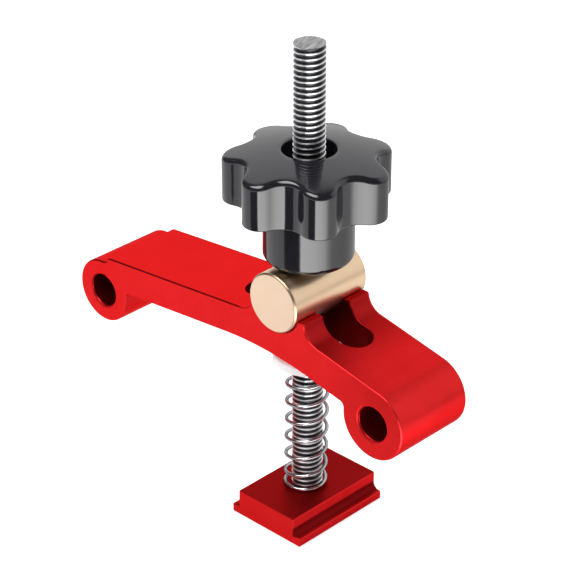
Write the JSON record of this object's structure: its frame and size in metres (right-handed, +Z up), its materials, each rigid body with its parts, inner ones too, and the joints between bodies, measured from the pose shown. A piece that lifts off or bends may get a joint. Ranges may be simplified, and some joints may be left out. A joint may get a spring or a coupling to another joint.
{
  "type": "t-track hold-down clamp",
  "caption": "Hold-down clamp for a T-slot track: a rocking arm on a cross pin, pressed down by a star knob on a threaded rod and lifted again by a spring.",
  "frame": {"origin": "on the threaded rod's axis at the slider's underside", "axes": "+Z up the rod, +Y along the cross pin and the track, +X from the rod to the heel of the arm"},
  "size_m": [0.1124, 0.0402, 0.1282],
  "materials": {
    "red_anodised": "satin red anodised",
    "plated_steel": "bright plated thread",
    "spring_steel": "bright drawn wire",
    "white_nylon": "smooth nylon",
    "pin_brass": "turned, satin",
    "black_plastic": "moulded, glossy",
    "bush_brass": "turned"
  },
  "bodies": {
    "base": {"t_slot_slider": "red_anodised", "threaded_rod": "plated_steel", "return_spring": "spring_steel"},
    "carriage": {"nylon_bush": "white_nylon"},
    "knob": {"star_knob": "black_plastic", "knob_bush": "bush_brass"},
    "pin": {"pivot_pin": "pin_brass"},
    "arm": {"clamp_arm": "red_anodised"}
  },
  "joints": [
    {"name": "clamp_travel", "type": "slide", "parent": "base", "child": "carriage", "axis": [0, 0, 1], "range_m": [-0.022, 0], "deforming": ["return_spring"]},
    {"name": "knob_turn", "type": "hinge", "parent": "carriage", "child": "knob", "pos_m": [0, 0, 0.08], "axis": [0, 0, 1], "range_deg": [-5613, 0]},
    {"name": "arm_swing", "type": "hinge", "parent": "carriage", "child": "pin", "pos_m": [0, 0, 0.0644], "axis": [0, 0, 1], "continuous": true},
    {"name": "arm_tilt", "type": "hinge", "parent": "pin", "child": "arm", "pos_m": [0, 0, 0.0644], "axis": [0, 1, 0], "range_deg": [-15, 10]}
  ],
  "couplings": [
    {"joint": "knob_turn", "follows": "clamp_travel", "rad_per_m": 4452.7}
  ]
}
